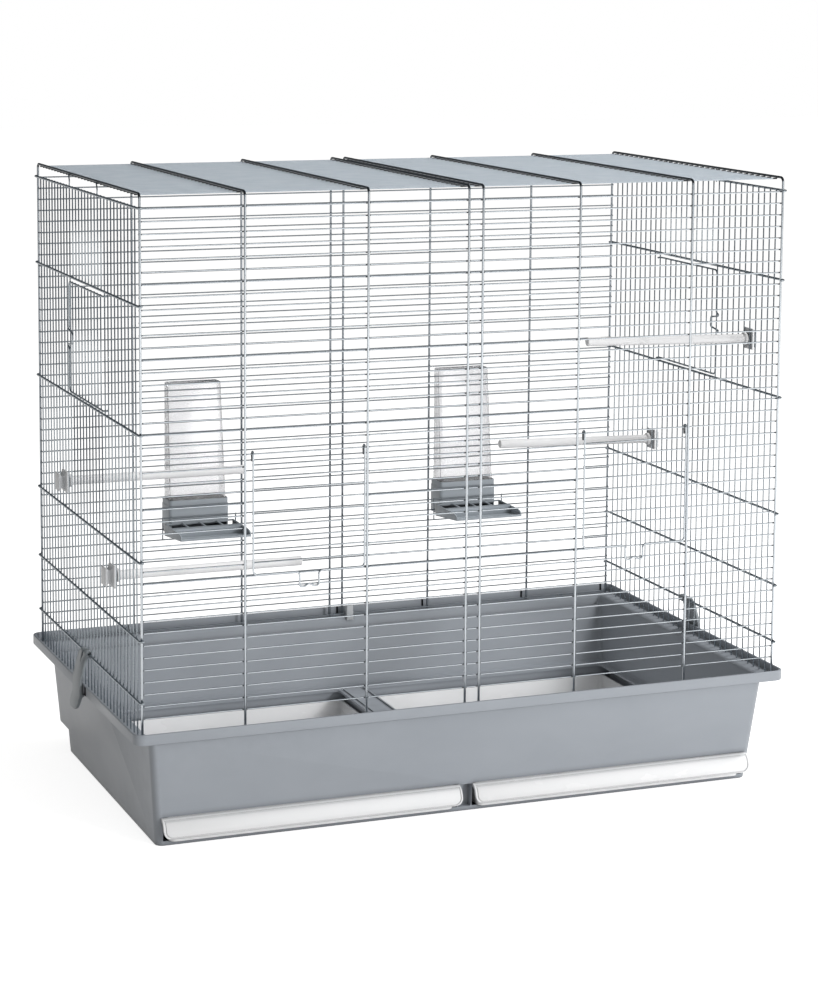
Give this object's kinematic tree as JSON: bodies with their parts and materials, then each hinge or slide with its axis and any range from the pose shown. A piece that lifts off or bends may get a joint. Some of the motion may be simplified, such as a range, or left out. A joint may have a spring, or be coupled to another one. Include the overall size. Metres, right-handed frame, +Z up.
{
  "type": "bird cage",
  "caption": "Large flat-topped wire bird cage on a plastic base with slide-out litter drawers, lift-up front doors, side doors, perches and hopper feeders.",
  "frame": {"origin": "middle of the base's underside", "axes": "+X to the right along the front, -Y out of the front with the drawers, +Z up"},
  "size_m": [0.9058, 0.561, 0.8057],
  "materials": {
    "grey_plastic": "satin",
    "zinc_wire": "bright zinc",
    "white_plastic": "gloss",
    "dark_plastic": "satin",
    "clear_plastic": "clear",
    "frosted_plastic": "frosted"
  },
  "bodies": {
    "cage": {"base": "grey_plastic", "front_grille": "zinc_wire", "back_grille": "zinc_wire", "top_grille": "zinc_wire", "left_panel": "zinc_wire", "right_panel": "zinc_wire", "feeder_left": "dark_plastic", "feeder_right": "dark_plastic", "perch_left_rear": "white_plastic", "perch_cap_left_rear": "white_plastic", "perch_left_front": "white_plastic", "perch_cap_left_front": "white_plastic", "perch_right_front": "white_plastic", "perch_cap_right_front": "white_plastic", "perch_right_rear": "white_plastic", "perch_cap_right_rear": "white_plastic", "rear_clip": "frosted_plastic"},
    "front_door_left": {"front_door_left": "zinc_wire"},
    "side_door_left": {"side_door_left": "zinc_wire"},
    "drawer_left": {"drawer_left": "white_plastic"},
    "hopper_left": {"hopper_left": "clear_plastic"},
    "side_clip_left": {"side_clip_left": "dark_plastic"},
    "front_door_right": {"front_door_right": "zinc_wire"},
    "side_door_right": {"side_door_right": "zinc_wire"},
    "drawer_right": {"drawer_right": "white_plastic"},
    "hopper_right": {"hopper_right": "clear_plastic"},
    "side_clip_right": {"side_clip_right": "dark_plastic"}
  },
  "joints": [
    {"name": "front_door_left_hinge", "type": "hinge", "parent": "cage", "child": "front_door_left", "pos_m": [-0.2178, -0.25015, 0.4836], "axis": [-1, 0, 0], "range_deg": [0, 150]},
    {"name": "side_door_left_hinge", "type": "hinge", "parent": "cage", "child": "side_door_left", "pos_m": [-0.43073, -0.0936, 0.59225], "axis": [0, 0, 1], "range_deg": [0, 150]},
    {"name": "drawer_left_slide", "type": "slide", "parent": "cage", "child": "drawer_left", "axis": [0, -1, 0], "range_m": [0, 0.38]},
    {"name": "hopper_left_lift", "type": "slide", "parent": "cage", "child": "hopper_left", "axis": [0, 0, 1], "range_m": [0, 0.06]},
    {"name": "side_clip_left_hinge", "type": "hinge", "parent": "cage", "child": "side_clip_left", "pos_m": [-0.43372, 0, 0.1885], "axis": [0, 1, 0], "range_deg": [0, 100]},
    {"name": "front_door_right_hinge", "type": "hinge", "parent": "cage", "child": "front_door_right", "pos_m": [0.2242, -0.25015, 0.4836], "axis": [-1, 0, 0], "range_deg": [0, 150]},
    {"name": "side_door_right_hinge", "type": "hinge", "parent": "cage", "child": "side_door_right", "pos_m": [0.43073, 0.0936, 0.59225], "axis": [0, 0, 1], "range_deg": [0, 150]},
    {"name": "drawer_right_slide", "type": "slide", "parent": "cage", "child": "drawer_right", "axis": [0, -1, 0], "range_m": [0, 0.38]},
    {"name": "hopper_right_lift", "type": "slide", "parent": "cage", "child": "hopper_right", "axis": [0, 0, 1], "range_m": [0, 0.06]},
    {"name": "side_clip_right_hinge", "type": "hinge", "parent": "cage", "child": "side_clip_right", "pos_m": [0.43372, 0, 0.1885], "axis": [0, -1, 0], "range_deg": [0, 100]}
  ]
}
